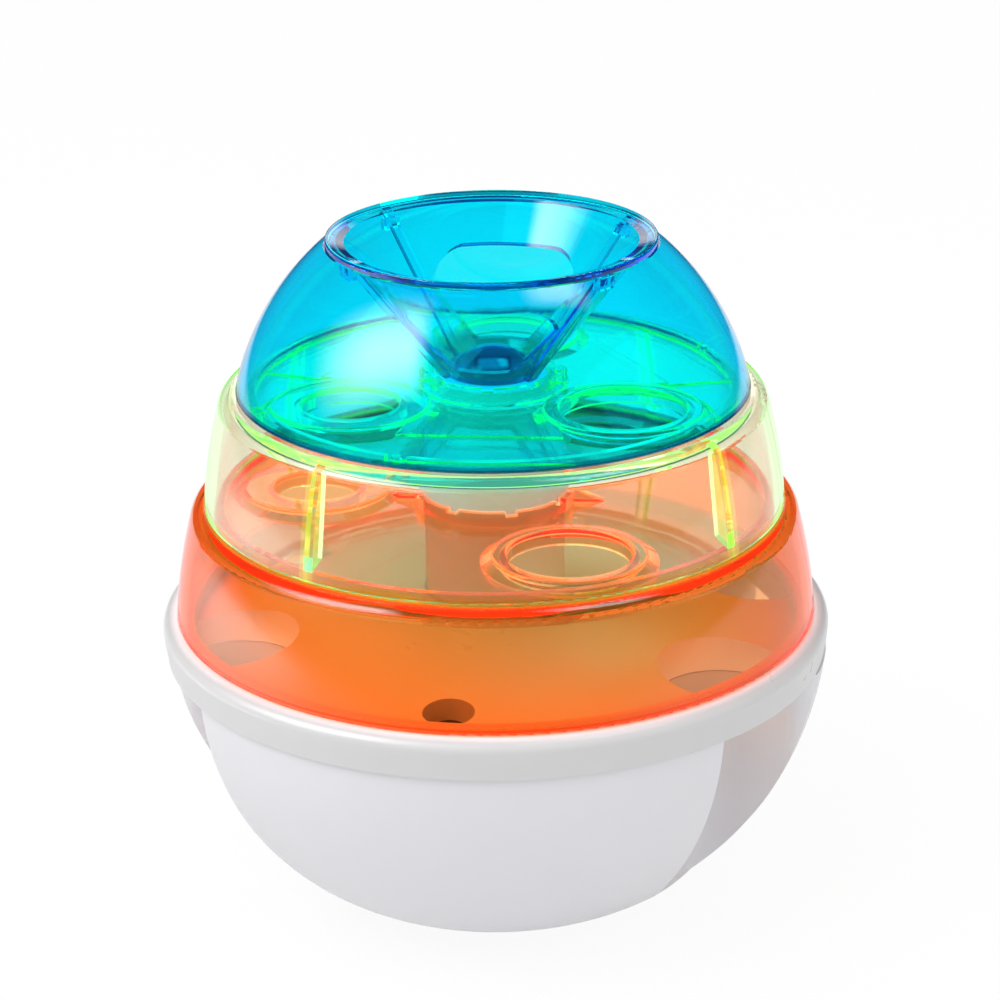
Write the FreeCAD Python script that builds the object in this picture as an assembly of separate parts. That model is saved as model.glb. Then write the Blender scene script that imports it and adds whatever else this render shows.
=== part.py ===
# Wobble treat dispenser: weighted bowl, floor with chutes, two turning tiers, dome and funnel
import FreeCAD
import Part
import math
import os

Vector = FreeCAD.Vector

# Clearances, all in mm
seat_gap = 0.2
turn_gap = 0.3
screw_gap = 0.1

# Lengths of the cutting tools: past a face, and past the whole toy
overshoot = 1.0
reach = 200.0

# Bowl
bowl_radius = 64.45
bowl_widest_height = 57.6
bowl_side_arc = 65.4
bowl_corner_arc = 43.0
bowl_base_arc = 150.0
bowl_foot_depth = 0.75
bowl_wall = 2.6
bowl_rim_height = 52.1
strip_proud = 1.1
strip_low = 20.0
strip_half_angle = 18.0

# Chutes from the floor to the side of the bowl
chute_radius = 12.5
chute_place = 52.4
chute_angles = (25.5, 154.5, 205.5, 334.5)
chute_lip_height = 9.0
chute_slope = 45.0
chute_wall = 2.2
chute_edge_round = 5.0

# Counterweight, its clamp and the screws
weight_radius = 29.1
weight_thickness = 9.0
weight_edge = 0.8
weight_lift = 0.2
weight_seat_width = 7.0
weight_fence = 1.8
weight_fence_height = 7.0
clamp_thickness = 2.4
clamp_overlap = 2.6
clamp_screw_place = 33.5
clamp_screw_angles = (0.0, 90.0, 180.0, 270.0)
clamp_ear = 4.2
clamp_post = 3.4
clamp_screw_length = 10.0

# Screws
screw_radius = 1.5
screw_head_radius = 3.0
screw_head_height = 1.8
screw_slot_width = 0.9
screw_slot_depth = 1.0

# Base deck with the band
band_overhang = 1.15
band_foot_set_in = 0.6
band_height = 7.5
band_round = 2.2
deck_thickness = 2.4
deck_lip = 1.8
deck_lip_depth = 3.0
deck_rise = 5.5
deck_edge_drop = 1.9
deck_fence = 1.3
deck_fence_height = 1.4
deck_pad_reach = 10.0
deck_pad_depth = 5.2
deck_chute_skirt = 1.8
deck_screw_place = 50.0
deck_screw_angles = (90.0, 270.0)
deck_recess_radius = 4.75
deck_recess_depth = 4.8
deck_column_wall = 1.8
deck_column_floor = 2.6
deck_screw_post = 4.2
deck_screw_length = 11.0

# Centre post
post_radius = 13.7
post_wall = 2.2
post_shoulder_drop = 0.5
post_head_radius = 10.7
post_head_rise = 3.5
post_flange_reach = 9.8
post_flange = 2.4
post_edge_round = 0.8
post_screw_place = 19.0
post_screw_angles = (30.0, 150.0, 270.0)
post_screw_length = 6.0

# Both tiers
tier_wall = 2.0
tier_deck = 1.8
tier_corner = 3.2
tier_fence = 1.5
tier_fence_height = 1.6
boss_rise = 1.6
boss_flare = 2.0
boss_edge_round = 0.5
boss_wall = 1.5
hole_rim = 1.4
wall_foot_round = 0.5

# Lower tier
lower_set_in = 2.7
lower_taper = 3.35
lower_arc = 115.0
lower_height = 22.4
lower_deck_drop = 0.8
lower_boss_place = 35.2
lower_boss_radius = 14.5
lower_boss_angles = (183.0, 303.0, 63.0)
lower_holes = (8.4, 11.6, 10.0)
lower_collar_wall = 1.6
lower_collar_rise = 2.6
lower_collar_notches = 8
lower_fin_angles = (5.0, 185.0)
lower_fin_reach = 21.5

# Middle tier
middle_set_in = 2.95
middle_taper = 3.3
middle_arc = 108.0
middle_height = 22.3
middle_deck_drop = 0.5
middle_boss_place = 29.5
middle_boss_radius = 15.0
middle_boss_angles = (215.0, 335.0, 95.0)
middle_holes = (9.1, 11.8, 10.4)
hub_wall = 1.4
hub_rise = 3.6
hub_plate_reach = 4.0
hub_plate = 1.5
hub_notch_angles = (50.0, 95.0, 140.0, 230.0, 275.0, 320.0)
hub_ear_angles = (5.0, 185.0)
hub_ear_reach = 14.3
hub_ear_width = 2.8
hub_ear_rise = 0.6
fan_angles = (275.0, 35.0, 155.0)
fan_inner_half = 10.4
fan_outer_half = 18.2
fan_start = 9.3
fan_crease = 30.0
fan_end = 42.0
fan_rise_inner = 1.0
fan_rise_outer = 0.5
gusset_angles = (242.0, 332.0, 62.0, 152.0)
gusset_top_depth = 1.5
gusset_depth = 2.8
gusset_width = 2.0
gusset_foot = 1.8
finger_slit = 1.2
finger_angles = (256.5, 260.0, 211.5, 215.0, 76.5, 80.0, 31.5, 35.0)
notch_width = 2.2
notch_depth = 0.8

# Dome
dome_set_in = 3.6
dome_wall = 1.8
dome_height = 28.6
dome_arc = 52.4
dome_rim_radius = 31.9
dome_opening = 30.3

# Funnel
funnel_flange_radius = 31.6
funnel_mouth = 28.0
funnel_flange = 1.1
funnel_flange_fall = 0.9
funnel_edge_round = 0.4
funnel_wall = 1.4
funnel_floor_radius = 8.6
funnel_floor = 1.5
spreader_radius = 7.3
spreader_rise = 3.7
funnel_rib_angles = (36.0, 144.0, 216.0, 324.0)
funnel_rib_width = 2.0
funnel_rib_proud = 1.2
funnel_hook_width = 3.6
funnel_hook_drop = 1.5
funnel_hook_height = 2.2
funnel_hook_depth = 1.8
window_top = 7.4
window_bottom = 3.3
window_half = 14.0
window_shoulder = 5.6
window_bottom_half = 5.2
window_top_round = 4.8
window_bottom_round = 2.0

# Heights and radii that follow from the sizes above
band_bottom = bowl_rim_height + seat_gap
ledge_height = band_bottom + band_height
band_radius = bowl_radius + band_overhang
lower_foot = ledge_height + seat_gap
lower_radius = band_radius - lower_set_in
lower_top = lower_foot + lower_height
lower_deck_top = lower_top - lower_deck_drop
middle_foot = lower_top + seat_gap
middle_radius = lower_radius - lower_taper - middle_set_in
middle_top = middle_foot + middle_height
middle_deck_top = middle_top - middle_deck_drop
dome_foot = middle_top + seat_gap
dome_radius = middle_radius - middle_taper - dome_set_in
dome_top = dome_foot + dome_height
flange_foot = dome_top + seat_gap
post_shoulder = middle_deck_top - post_shoulder_drop
post_top = post_shoulder + post_head_rise
hub_top = middle_deck_top + hub_rise
funnel_foot = post_top + turn_gap
deck_fence_radius = lower_radius - tier_wall - turn_gap
deck_outer = deck_fence_radius - deck_fence
deck_slope = math.tan(math.radians(deck_rise))


# Solid turned around the upright axis from a half outline of (radius, height) steps
def turned(steps):
    edges = []
    here = steps[0][:2]
    for step in steps[1:] + steps[:1]:
        start = Vector(here[0], 0, here[1])
        end = Vector(step[0], 0, step[1])
        if len(step) == 4:
            edges.append(Part.Arc(start, Vector(step[2], 0, step[3]), end).toShape())
        elif not start.isEqual(end, 1e-6):
            edges.append(Part.LineSegment(start, end).toShape())
        here = step[:2]
    face = Part.Face(Part.Wire(edges))
    return face.revolve(Vector(0, 0, 0), Vector(0, 0, 1), 360)


# Arc step around a centre, from one point of the outline to the next
def arc_step(centre, start, end):
    size = math.dist(centre, start)
    lean = (start[0] + end[0] - 2 * centre[0], start[1] + end[1] - 2 * centre[1])
    scale = size / math.hypot(*lean)
    return (end[0], end[1], centre[0] + lean[0] * scale, centre[1] + lean[1] * scale)


# Centre of the arc through a lower and an upper point that bulges away from the axis
def arc_centre(lower, upper, radius):
    half = math.dist(lower, upper) / 2
    depth = math.sqrt(radius**2 - half**2) / (2 * half)
    run = upper[0] - lower[0]
    rise = upper[1] - lower[1]
    return ((lower[0] + upper[0]) / 2 - rise * depth, (lower[1] + upper[1]) / 2 + run * depth)


# Radius of an arc at a height
def arc_at(centre, radius, height):
    return centre[0] + math.sqrt(radius**2 - (height - centre[1]) ** 2)


# Point on a circle in the direction from its centre through another point
def towards(centre, point, radius):
    scale = radius / math.dist(centre, point)
    return (centre[0] + (point[0] - centre[0]) * scale, centre[1] + (point[1] - centre[1]) * scale)


# Shape turned about the upright axis
def at_angle(shape, angle):
    copy = shape.copy()
    copy.rotate(Vector(0, 0, 0), Vector(0, 0, 1), angle)
    return copy


# Upright cylinder at a distance from the axis, along the given angle
def column(place, angle, radius, low, high):
    body = Part.makeCylinder(radius, high - low, Vector(place, 0, low))
    return at_angle(body, angle)


# Flat plate drawn as (x, z) points and as thick as the given width, centred on y = 0
def upright_plate(points, width):
    corners = [Vector(x, -width / 2, z) for x, z in points]
    return Part.Face(Part.makePolygon(corners + corners[:1])).extrude(Vector(0, width, 0))


# Upright prism drawn as (x, y) points
def upright_prism(points, low, high):
    corners = [Vector(x, y, low) for x, y in points]
    return Part.Face(Part.makePolygon(corners + corners[:1])).extrude(Vector(0, 0, high - low))


# Box that starts at an inner distance from the axis and is centred on the x direction
def radial_box(inner, outer, width, low, high):
    return Part.makeBox(outer - inner, width, high - low, Vector(inner, -width / 2, low))


# Centre of the round corner between the bowl's base and side
def bowl_corner_centre(base, side):
    to_base = bowl_base_arc - bowl_corner_arc
    to_side = bowl_side_arc - bowl_corner_arc
    span = math.dist(base, side)
    along = (to_base**2 - to_side**2 + span**2) / (2 * span)
    across = math.sqrt(to_base**2 - along**2)
    run = (side[0] - base[0]) / span
    rise = (side[1] - base[1]) / span
    return (base[0] + run * along - rise * across, base[1] + rise * along + run * across)


# Height of the bowl's inner floor at a distance from the axis
def bowl_floor_at(radius):
    base = (0, bowl_base_arc - bowl_foot_depth)
    side = (bowl_radius - bowl_side_arc, bowl_widest_height)
    corner = bowl_corner_centre(base, side)
    if radius < towards(base, corner, bowl_base_arc - bowl_wall)[0]:
        return base[1] - math.sqrt((bowl_base_arc - bowl_wall) ** 2 - radius**2)
    return corner[1] - math.sqrt((bowl_corner_arc - bowl_wall) ** 2 - (radius - corner[0]) ** 2)


# Seat of the counterweight, just above the bowl's floor
def weight_seat_height():
    return bowl_floor_at(weight_radius + turn_gap) + weight_lift


# Underside of the counterweight
def weight_foot():
    return weight_seat_height() + seat_gap


# Underside of the clamp plate
def clamp_foot():
    return weight_foot() + weight_thickness + seat_gap


# Body of the bowl without scoops, set in from the outside by a wall
def bowl_body(inset, top):
    base = (0, bowl_base_arc - bowl_foot_depth)
    side = (bowl_radius - bowl_side_arc, bowl_widest_height)
    corner = bowl_corner_centre(base, side)
    low_join = towards(base, corner, bowl_base_arc - inset)
    high_join = towards(side, corner, bowl_side_arc - inset)
    start = (0, base[1] - bowl_base_arc + inset)
    rim = (arc_at(side, bowl_side_arc - inset, top), top)
    return turned([
        start,
        arc_step(base, start, low_join),
        arc_step(corner, low_join, high_join),
        arc_step(side, high_join, rim),
        (0, top),
    ])


# Plan of one chute: round inner end and sides that open outwards
def chute_shape(grow, low, high):
    lean = math.asin(chute_radius / chute_place)
    touch = chute_radius + grow
    x = chute_place - touch * math.sin(lean)
    y = touch * math.cos(lean)
    far_x = x + chute_place * math.cos(lean)
    far_y = y + chute_place * math.sin(lean)
    sides = upright_prism([(x, -y), (far_x, -far_y), (far_x, far_y), (x, y)], low, high)
    return sides.fuse(Part.makeCylinder(touch, high - low, Vector(chute_place, 0, low))).removeSplitter()


# One scoop with its sloping floor
def scoop(grow, top):
    body = chute_shape(grow, 0, top)
    side = (bowl_radius - bowl_side_arc, bowl_widest_height)
    base = (0, bowl_base_arc - bowl_foot_depth)
    corner = bowl_corner_centre(base, side)
    lip = arc_at(corner, bowl_corner_arc, chute_lip_height)
    fall = math.tan(math.radians(chute_slope))
    drop = grow / math.cos(math.radians(chute_slope))
    inner = chute_lip_height + lip * fall - drop
    outer = inner - reach * fall
    floor = [(0, inner), (reach, outer), (0, outer)]
    return body.cut(upright_plate(floor, reach))


# Raised strip between the two scoops of one side, flush with the band at the top
def side_strip():
    side = (bowl_radius - bowl_side_arc, bowl_widest_height)
    low = (arc_at(side, bowl_side_arc, strip_low), strip_low)
    high = (arc_at(side, bowl_side_arc, bowl_rim_height) + strip_proud, bowl_rim_height)
    centre = arc_centre(low, high, bowl_side_arc)
    ring = turned([
        (low[0] - bowl_wall, low[1]),
        low,
        arc_step(centre, low, high),
        (high[0] - strip_proud - bowl_wall, high[1]),
    ])
    half = math.radians(strip_half_angle)
    far = (reach * math.cos(half), reach * math.sin(half))
    wedge = upright_prism([(0, 0), (far[0], -far[1]), far], 0, reach)
    return ring.common(wedge)


# Tool that rounds one upright edge of the strip beside a scoop
def strip_corner():
    side = (bowl_radius - bowl_side_arc, bowl_widest_height)
    middle = arc_at(side, bowl_side_arc, bowl_rim_height) + strip_proud - chute_edge_round
    edge = math.radians(chute_angles[0]) - math.asin(chute_radius / chute_place)
    lean = edge - math.asin(chute_edge_round / middle)
    x = middle * math.cos(lean)
    y = middle * math.sin(lean)
    touch = (x - chute_edge_round * math.sin(edge), y + chute_edge_round * math.cos(edge))
    far = (touch[0] + reach * math.cos(edge), touch[1] + reach * math.sin(edge))
    beyond = (x + reach * math.cos(lean), y + reach * math.sin(lean))
    tool = upright_prism([(x, y), beyond, far, touch], 0, reach)
    return tool.cut(Part.makeCylinder(chute_edge_round, reach, Vector(x, y, 0)))


# Bowl with scoops, weight seat and screw posts
def make_bowl():
    outside = bowl_body(0, bowl_rim_height)
    for angle in (0, 180):
        outside = outside.fuse(at_angle(side_strip(), angle))
    corner = strip_corner()
    corners = [corner, corner.mirror(Vector(0, 0, 0), Vector(0, 1, 0))]
    outside = outside.cut(corners + [at_angle(tool, 180) for tool in corners])
    below_foot = Part.makeBox(2 * reach, 2 * reach, reach, Vector(-reach, -reach, -reach))
    outside = outside.cut(below_foot)
    inside = bowl_body(bowl_wall, bowl_rim_height + overshoot)
    fence = weight_radius + turn_gap
    seat = weight_seat_height()
    hollow = Part.makeCylinder(fence - weight_seat_width, reach)
    hollow = hollow.fuse(Part.makeCylinder(fence, reach, Vector(0, 0, seat)))
    ring = Part.makeCylinder(fence + weight_fence, seat + weight_fence_height)
    kept = [ring.cut(hollow)]
    for angle in clamp_screw_angles:
        post = column(clamp_screw_place, angle, clamp_post, 0, clamp_foot() - seat_gap)
        kept.append(post.cut(hollow))
    column_top = deck_column_bottom() - seat_gap
    for angle in deck_screw_angles:
        kept.append(column(deck_screw_place, angle, deck_screw_post, 0, column_top))
    for angle in chute_angles:
        kept.append(at_angle(scoop(chute_wall, bowl_rim_height), angle))
    for angle in deck_screw_angles:
        upper_half = column(deck_screw_place, angle, deck_screw_post, column_top / 2, column_top)
        outside = outside.fuse(upper_half)
    bowl = outside.cut(inside.cut(kept))
    holes = [at_angle(scoop(0, reach), angle) for angle in chute_angles]
    pilot = screw_radius + screw_gap
    for angle in clamp_screw_angles:
        low = clamp_foot() + clamp_thickness - clamp_screw_length - seat_gap
        holes.append(column(clamp_screw_place, angle, pilot, low, reach))
    for angle in deck_screw_angles:
        low = deck_recess_floor() - deck_screw_length - seat_gap
        holes.append(column(deck_screw_place, angle, pilot, low, reach))
    return bowl.cut(holes).removeSplitter()


# Height of the sloping deck at a distance from the axis
def deck_top_at(radius):
    return ledge_height - deck_edge_drop + (deck_outer - radius) * deck_slope


# Floor of the round recess of a deck screw
def deck_recess_floor():
    return deck_top_at(deck_screw_place) - deck_recess_depth


# Underside of the column below a deck screw
def deck_column_bottom():
    return deck_recess_floor() - deck_column_floor


# Base deck: band, sloping floor, chute skirts and screw columns
def make_base_deck():
    side = (bowl_radius - bowl_side_arc, bowl_widest_height)
    lip_outer = arc_at(side, bowl_side_arc - bowl_wall, bowl_rim_height - deck_lip_depth) - turn_gap
    lip_inner = lip_outer - deck_lip
    hub = post_radius + turn_gap
    pad = hub + deck_pad_reach
    pad_bottom = deck_top_at(pad) - deck_pad_depth
    foot = (band_radius - band_foot_set_in, band_bottom)
    brow = (band_radius, ledge_height - band_round)
    round_centre = (band_radius - band_round, ledge_height - band_round)
    round_end = (band_radius - band_round, ledge_height)
    fence_top = ledge_height + deck_fence_height
    deck = turned([
        foot,
        arc_step(arc_centre(foot, brow, bowl_side_arc), foot, brow),
        arc_step(round_centre, brow, round_end),
        (deck_fence_radius, ledge_height),
        (deck_fence_radius, fence_top),
        (deck_outer, fence_top),
        (deck_outer, deck_top_at(deck_outer)),
        (hub, deck_top_at(hub)),
        (hub, pad_bottom),
        (pad, pad_bottom),
        (pad, deck_top_at(pad) - deck_thickness),
        (lip_inner, deck_top_at(lip_inner) - deck_thickness),
        (lip_inner, bowl_rim_height - deck_lip_depth),
        (lip_outer, bowl_rim_height - deck_lip_depth),
        (lip_outer, band_bottom),
    ])
    room = turned([
        (0, 0),
        (lip_inner, 0),
        (lip_inner, deck_top_at(lip_inner) - deck_thickness),
        (0, deck_top_at(0) - deck_thickness),
    ])
    skirt = chute_radius + deck_chute_skirt
    under = [column(chute_place, a, skirt, band_bottom, reach) for a in chute_angles]
    outer = deck_recess_radius + deck_column_wall
    low = deck_column_bottom()
    under += [column(deck_screw_place, a, outer, low, reach) for a in deck_screw_angles]
    deck = deck.fuse([body.common(room) for body in under])
    holes = []
    clear = chute_wall + turn_gap
    within = Part.makeCylinder(deck_outer - seat_gap, reach)
    for angle in chute_angles:
        holes.append(column(chute_place, angle, chute_radius, 0, reach).common(within))
        holes.append(at_angle(chute_shape(clear, 0, band_bottom), angle))
    for angle in deck_screw_angles:
        holes.append(column(deck_screw_place, angle, deck_recess_radius, deck_recess_floor(), reach))
        holes.append(column(deck_screw_place, angle, screw_radius + screw_gap, 0, reach))
    for angle in post_screw_angles:
        top = post_flange_foot() + post_screw_length + seat_gap
        holes.append(column(post_screw_place, angle, screw_radius + screw_gap, 0, top))
    return deck.cut(holes).removeSplitter()


# Underside of the flange at the foot of the centre post
def post_flange_foot():
    pad = post_radius + turn_gap + deck_pad_reach
    return deck_top_at(pad) - deck_pad_depth - seat_gap - post_flange


# Hollow centre post with a closed head and a screw flange
def make_centre_post():
    foot = post_flange_foot()
    flange = post_radius + post_flange_reach
    shoulder = post_shoulder
    ease = post_edge_round
    side = (post_radius, shoulder - ease)
    shoulder_end = (post_radius - ease, shoulder)
    head_side = (post_head_radius, post_top - ease)
    head_end = (post_head_radius - ease, post_top)
    body = turned([
        (post_radius - post_wall, foot),
        (flange, foot),
        (flange, foot + post_flange),
        (post_radius, foot + post_flange),
        side,
        arc_step((shoulder_end[0], side[1]), side, shoulder_end),
        (post_head_radius, shoulder),
        head_side,
        arc_step((head_end[0], head_side[1]), head_side, head_end),
        (0, post_top),
        (0, post_top - post_wall),
        (post_head_radius - post_wall, post_top - post_wall),
        (post_head_radius - post_wall, shoulder - post_wall),
        (post_radius - post_wall, shoulder - post_wall),
    ])
    hole = screw_radius + screw_gap
    top = foot + post_flange + turn_gap
    return body.cut([column(post_screw_place, a, hole, foot, top) for a in post_screw_angles])


# Cross-slotted screw with its head's underside at a height, pointing down
def screw(place, angle, seat, length):
    head = column(place, angle, screw_head_radius, seat, seat + screw_head_height)
    shank = column(place, angle, screw_radius, seat - length, seat)
    floor = seat + screw_head_height - screw_slot_depth
    half = screw_head_radius - screw_slot_depth
    slot = radial_box(place - half, place + half, screw_slot_width, floor, reach)
    half_slot = screw_slot_width / 2
    cross = radial_box(place - half_slot, place + half_slot, half + half, floor, reach)
    return head.fuse(shank).removeSplitter().cut(at_angle(slot.fuse(cross), angle))


# Screw under the post's flange, turned over to point up
def screw_from_below(place, angle):
    body = screw(place, angle, 0, post_screw_length)
    body = body.mirror(Vector(0, 0, 0), Vector(0, 0, 1))
    body.translate(Vector(0, 0, post_flange_foot()))
    return body


# Round counterweight of steel
def make_counterweight():
    foot = weight_foot()
    top = foot + weight_thickness
    return turned([
        (0, foot),
        (weight_radius - weight_edge, foot),
        (weight_radius, foot + weight_edge),
        (weight_radius, top - weight_edge),
        (weight_radius - weight_edge, top),
        (0, top),
    ])


# Clamp plate over the counterweight with a screw ear at each side
def make_weight_clamp():
    foot = clamp_foot()
    top = foot + clamp_thickness
    hole = screw_radius + screw_gap
    plate = Part.makeCylinder(weight_radius + clamp_overlap, clamp_thickness, Vector(0, 0, foot))
    ears = [column(clamp_screw_place, a, clamp_ear, foot, top) for a in clamp_screw_angles]
    plate = plate.fuse(ears).removeSplitter()
    return plate.cut([column(clamp_screw_place, a, hole, 0, reach) for a in clamp_screw_angles])


# Rounded outer edge at the foot of a wall: its outline steps, and the point where the wall starts
def rounded_foot(centre, arc, foot):
    ease = wall_foot_round
    side = (arc_at(centre, arc, foot + ease), foot + ease)
    start = (side[0] - ease, foot)
    return [start, arc_step((start[0], side[1]), start, side)], side


# Outline of a tier's wall from its foot over the round shoulder, and the same inside
def tier_wall_outline(foot, radius, top, taper, arc, under):
    lower = (radius, foot)
    upper = (radius - taper, top - tier_corner)
    centre = arc_centre(lower, upper, arc)
    rise = top - tier_corner - centre[1]
    corner = (centre[0] + math.sqrt((arc - tier_corner) ** 2 - rise**2), top - tier_corner)
    join = towards(centre, corner, arc)
    end = (corner[0], top)
    rounding, side = rounded_foot(centre, arc, foot)
    outside = rounding + [arc_step(centre, side, join), arc_step(corner, join, end)]
    inner_arc = arc - tier_wall
    inner_round = tier_corner - tier_wall
    rise = under - inner_round - centre[1]
    inner_corner = (centre[0] + math.sqrt((inner_arc - inner_round) ** 2 - rise**2), under - inner_round)
    inner_join = towards(centre, inner_corner, inner_arc)
    inner_end = (inner_corner[0], under)
    inner_foot = (arc_at(centre, inner_arc, foot), foot)
    inner_shoulder = arc_step(inner_corner, inner_end, inner_join)
    inside = [inner_end, inner_shoulder, arc_step(centre, inner_join, inner_foot)]
    return outside, inside


# Flat-topped round boss on a tier's deck, with a rounded edge
def boss(place, angle, radius, top):
    base = radius + boss_flare
    foot = top - boss_rise
    ease = boss_edge_round
    side = (radius, top - ease)
    end = (radius - ease, top)
    body = turned([
        (0, foot - tier_deck),
        (base, foot - tier_deck),
        (base, foot),
        side,
        arc_step((end[0], side[1]), side, end),
        (0, top),
    ])
    body.translate(Vector(place, 0, 0))
    return at_angle(body, angle)


# Tool for the ring-shaped pocket under a boss, which leaves a short rim round the hole
def boss_pocket(place, angle, radius, hole, top):
    rim = hole + hole_rim
    slope = boss_flare / boss_rise
    high = top - boss_wall
    low = top - boss_rise - tier_deck - seat_gap
    inner = radius - boss_wall * math.hypot(1, slope)
    tool = turned([
        (rim, low),
        (inner + (top - low) * slope, low),
        (inner + (top - high) * slope, high),
        (rim, high),
    ])
    tool.translate(Vector(place, 0, 0))
    return at_angle(tool, angle)


# Tool for a treat hole with a rounded upper edge
def treat_hole(place, angle, radius, top):
    ease = boss_edge_round
    side = (radius, top - ease)
    end = (radius + ease, top)
    tool = turned([
        (0, top - reach),
        (radius, top - reach),
        side,
        arc_step((end[0], side[1]), side, end),
        (end[0], top + overshoot),
        (0, top + overshoot),
    ])
    tool.translate(Vector(place, 0, 0))
    return at_angle(tool, angle)


# Outer radius of the low fence that sits inside the wall of the piece above
def fence_radius(foot, radius, top_radius, arc, above_foot, wall):
    centre = arc_centre((radius, foot), top_radius, arc)
    return arc_at(centre, arc - wall, above_foot) - turn_gap


# Lower tier: skirt, deck, bosses with treat holes and collar
def make_lower_tier():
    under = lower_deck_top - tier_deck
    wall = tier_wall_outline(lower_foot, lower_radius, lower_top, lower_taper, lower_arc, under)
    outside, inside = wall
    fence_top = lower_top + tier_fence_height
    upper = (middle_radius - middle_taper, middle_top - tier_corner)
    fence = fence_radius(middle_foot, middle_radius, upper, middle_arc, fence_top, tier_wall)
    bore = post_radius + turn_gap
    collar = bore + lower_collar_wall
    collar_top = lower_deck_top + lower_collar_rise
    body = turned(outside + [
        (fence, lower_top),
        (fence, fence_top),
        (fence - tier_fence, fence_top),
        (fence - tier_fence, lower_deck_top),
        (collar, lower_deck_top),
        (collar, collar_top),
        (bore, collar_top),
        (bore, under),
    ] + inside)
    top = lower_deck_top + boss_rise
    added = [boss(lower_boss_place, a, lower_boss_radius, top) for a in lower_boss_angles]
    low_end = lower_deck_top - tier_deck / 2
    fin = [
        (bore + turn_gap, low_end),
        (lower_fin_reach, low_end),
        (lower_fin_reach, lower_deck_top),
        (collar, collar_top),
        (bore + turn_gap, collar_top),
    ]
    added += [at_angle(upright_plate(fin, gusset_width), angle) for angle in lower_fin_angles]
    body = body.fuse(added)
    cuts = [Part.makeCylinder(bore, reach)]
    for angle, size in zip(lower_boss_angles, lower_holes):
        cuts.append(treat_hole(lower_boss_place, angle, size, top))
        cuts.append(boss_pocket(lower_boss_place, angle, lower_boss_radius, size, top))
    notch = radial_box(0, collar + turn_gap, notch_width, collar_top - notch_depth, reach)
    step = 360 / lower_collar_notches
    cuts += [at_angle(notch, step / 2 + step * n) for n in range(lower_collar_notches)]
    return body.cut(cuts).removeSplitter()


# Fan-shaped raised field between two bosses of the middle tier
def fan():
    slope = (fan_outer_half - fan_inner_half) / (fan_end - fan_start)
    crease = fan_inner_half + (fan_crease - fan_start) * slope
    base = middle_deck_top - tier_deck
    start = [(fan_start, fan_inner_half), (fan_start, -fan_inner_half)]
    middle = [(fan_crease, -crease), (fan_crease, crease)]
    end = [(fan_end, -fan_outer_half), (fan_end, fan_outer_half)]
    high = upright_prism(start + middle, base, middle_deck_top + fan_rise_inner)
    low = upright_prism(middle[:1] + end + middle[1:], base, middle_deck_top + fan_rise_outer)
    return high.fuse(low)


# Upright stiffening plate inside the middle tier's wall
def gusset(centre, under):
    foot = lower_top + tier_fence_height + turn_gap
    half_wall = tier_wall / 2
    low_wall = arc_at(centre, middle_arc - half_wall, foot)
    high_wall = arc_at(centre, middle_arc - half_wall, under)
    return upright_plate([
        (low_wall, foot),
        (high_wall, under),
        (high_wall, under + tier_deck / 2),
        (high_wall - half_wall - gusset_top_depth, under + tier_deck / 2),
        (low_wall - half_wall - gusset_depth, foot + gusset_foot),
        (low_wall - half_wall - seat_gap, foot),
    ], gusset_width)


# Middle tier: skirt, deck, bosses, fans, gussets and hub
def make_middle_tier():
    under = middle_deck_top - tier_deck
    wall = tier_wall_outline(middle_foot, middle_radius, middle_top, middle_taper, middle_arc, under)
    outside, inside = wall
    upper = (middle_radius - middle_taper, middle_top - tier_corner)
    wall_centre = arc_centre((middle_radius, middle_foot), upper, middle_arc)
    fence_top = middle_top + tier_fence_height
    rim = (dome_rim_radius, dome_top)
    fence = fence_radius(dome_foot, dome_radius, rim, dome_arc, fence_top, dome_wall)
    bore = post_head_radius + turn_gap
    collar = bore + hub_wall
    sleeve = post_radius + turn_gap
    hub_under = post_shoulder + seat_gap
    plate_top = hub_under + hub_plate
    body = turned(outside + [
        (fence, middle_top),
        (fence, fence_top),
        (fence - tier_fence, fence_top),
        (fence - tier_fence, middle_deck_top),
        (sleeve + hub_plate_reach, middle_deck_top),
        (sleeve, plate_top),
        (collar, plate_top),
        (collar, hub_top),
        (bore, hub_top),
        (bore, hub_under),
        (sleeve, hub_under),
        (sleeve, under),
    ] + inside)
    top = middle_deck_top + boss_rise
    added = [boss(middle_boss_place, a, middle_boss_radius, top) for a in middle_boss_angles]
    added += [at_angle(fan(), angle) for angle in fan_angles]
    added += [at_angle(gusset(wall_centre, under), angle) for angle in gusset_angles]
    ear_top = hub_top + hub_ear_rise
    ear_round = hub_ear_width / 2
    ear_end = hub_ear_reach - ear_round
    ear = radial_box(collar - turn_gap, ear_end, hub_ear_width, hub_under, ear_top)
    ear = ear.fuse(column(ear_end, 0, ear_round, hub_under, ear_top))
    added += [at_angle(ear, angle) for angle in hub_ear_angles]
    body = body.fuse(added)
    cuts = [Part.makeCylinder(bore, reach), Part.makeCylinder(sleeve, hub_under)]
    hub_keep = Part.makeCylinder(sleeve + tier_wall, reach)
    for angle, size in zip(middle_boss_angles, middle_holes):
        cuts.append(treat_hole(middle_boss_place, angle, size, top))
        pocket = boss_pocket(middle_boss_place, angle, middle_boss_radius, size, top)
        cuts.append(pocket.cut(hub_keep))
    notch = radial_box(0, collar + turn_gap, notch_width, hub_top - notch_depth, reach)
    cuts += [at_angle(notch, angle) for angle in hub_notch_angles]
    slit_start = fence - tier_fence - turn_gap
    slit = radial_box(slit_start, fence + turn_gap, finger_slit, middle_top + seat_gap, reach)
    cuts += [at_angle(slit, angle) for angle in finger_angles]
    return body.cut(cuts).removeSplitter()


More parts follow.
